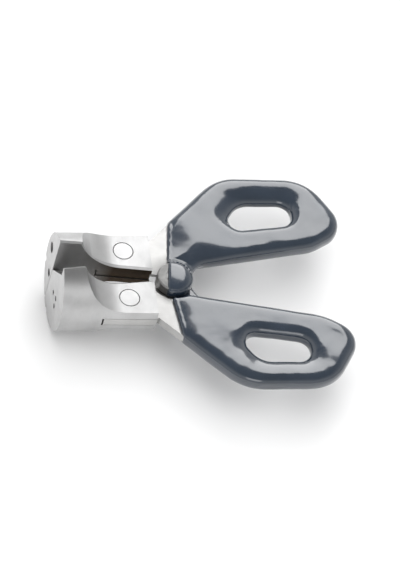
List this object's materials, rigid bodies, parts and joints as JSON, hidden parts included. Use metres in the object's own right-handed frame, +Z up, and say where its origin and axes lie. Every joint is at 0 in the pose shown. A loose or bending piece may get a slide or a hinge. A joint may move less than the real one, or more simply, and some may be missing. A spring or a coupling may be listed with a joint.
{
  "type": "lobster cracker",
  "caption": "Scissor-handled cracker: a round split head of two riveted jaws on two pivoted steel levers, with thick dip-coated closed finger loops.",
  "frame": {"origin": "middle of the underside of the tool's box, with the tool lying flat and its mouth closed", "axes": "+X from the round head towards the finger loops, +Y towards the upper half, +Z up along the pivot axis"},
  "size_m": [0.1574, 0.1336, 0.0507],
  "materials": {
    "jaw_steel": "satin nickel-plated, turned and milled",
    "lever_steel": "satin nickel-plated plate",
    "rivet_steel": "ground flush",
    "pivot_steel": "plain bright steel",
    "washer_bronze": "plain bronze",
    "dip_coating": "thick glossy vinyl dip coating, slate grey"
  },
  "bodies": {
    "lower_half": {"lever_lower": "lever_steel", "jaw_lower": "jaw_steel", "jaw_rivet_lower": "rivet_steel", "grip_lower": "dip_coating", "pivot_rivet": "pivot_steel", "hub_washer": "washer_bronze"},
    "upper_half": {"lever_upper": "lever_steel", "jaw_upper": "jaw_steel", "jaw_rivet_upper": "rivet_steel", "grip_upper": "dip_coating"}
  },
  "joints": [
    {"name": "pivot", "type": "hinge", "parent": "lower_half", "child": "upper_half", "pos_m": [-0.01523, 0, 0.02597], "axis": [0, 0, 1], "range_deg": [-26, 0]}
  ]
}
